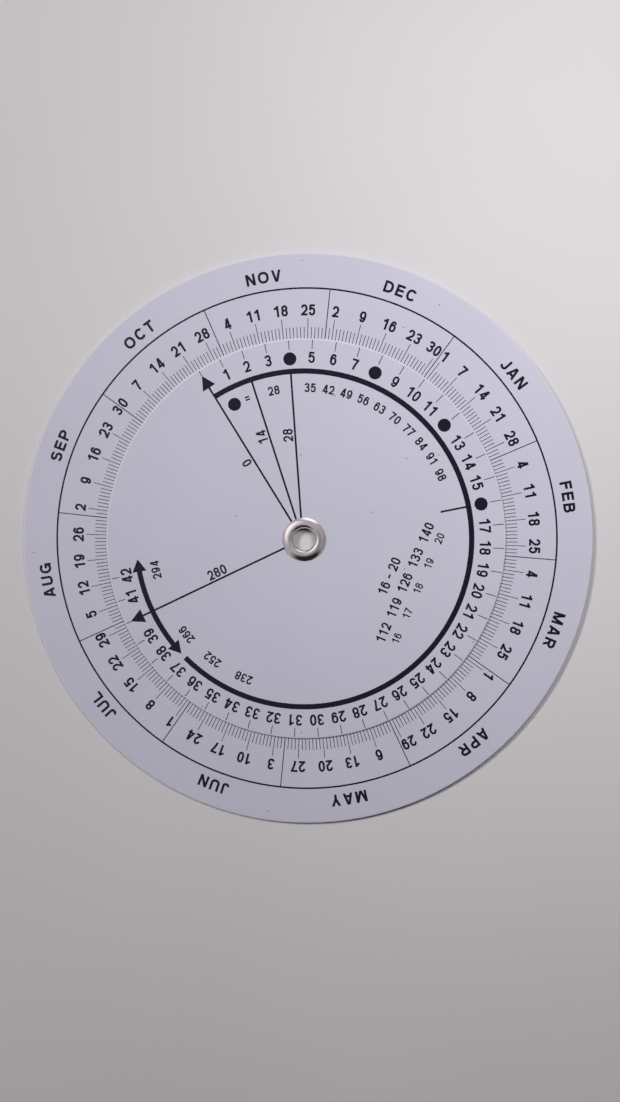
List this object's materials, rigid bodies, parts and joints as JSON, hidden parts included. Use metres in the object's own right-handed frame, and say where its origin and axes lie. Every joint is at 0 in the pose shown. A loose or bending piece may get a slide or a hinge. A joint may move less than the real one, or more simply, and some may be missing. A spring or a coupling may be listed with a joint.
{
  "type": "pregnancy wheel",
  "caption": "Flat round date calculator: a small week disc turns on a larger calendar disc about a metal eyelet with an open hole.",
  "frame": {"origin": "on the eyelet's axis, in the plane that the eyelet's rear roll stands on", "axes": "+Z along the eyelet's axis, out of the printed faces; +Y towards the top of the picture, +X to its right"},
  "size_m": [0.112, 0.112, 0.0018],
  "materials": {
    "calendar_sheet": "satin white sheet plastic, printed in black",
    "week_sheet": "satin white sheet plastic, printed in black",
    "nickel": "bright nickel plate on formed sheet metal",
    "ink": "black printing ink"
  },
  "bodies": {
    "calendar": {"calendar_disc": "calendar_sheet", "eyelet": "nickel"},
    "week": {"week_disc": "week_sheet"}
  },
  "joints": [
    {"name": "week_turn", "type": "hinge", "parent": "calendar", "child": "week", "pos_m": [0, 0, 0.0009], "axis": [0, 0, 1], "continuous": true}
  ]
}
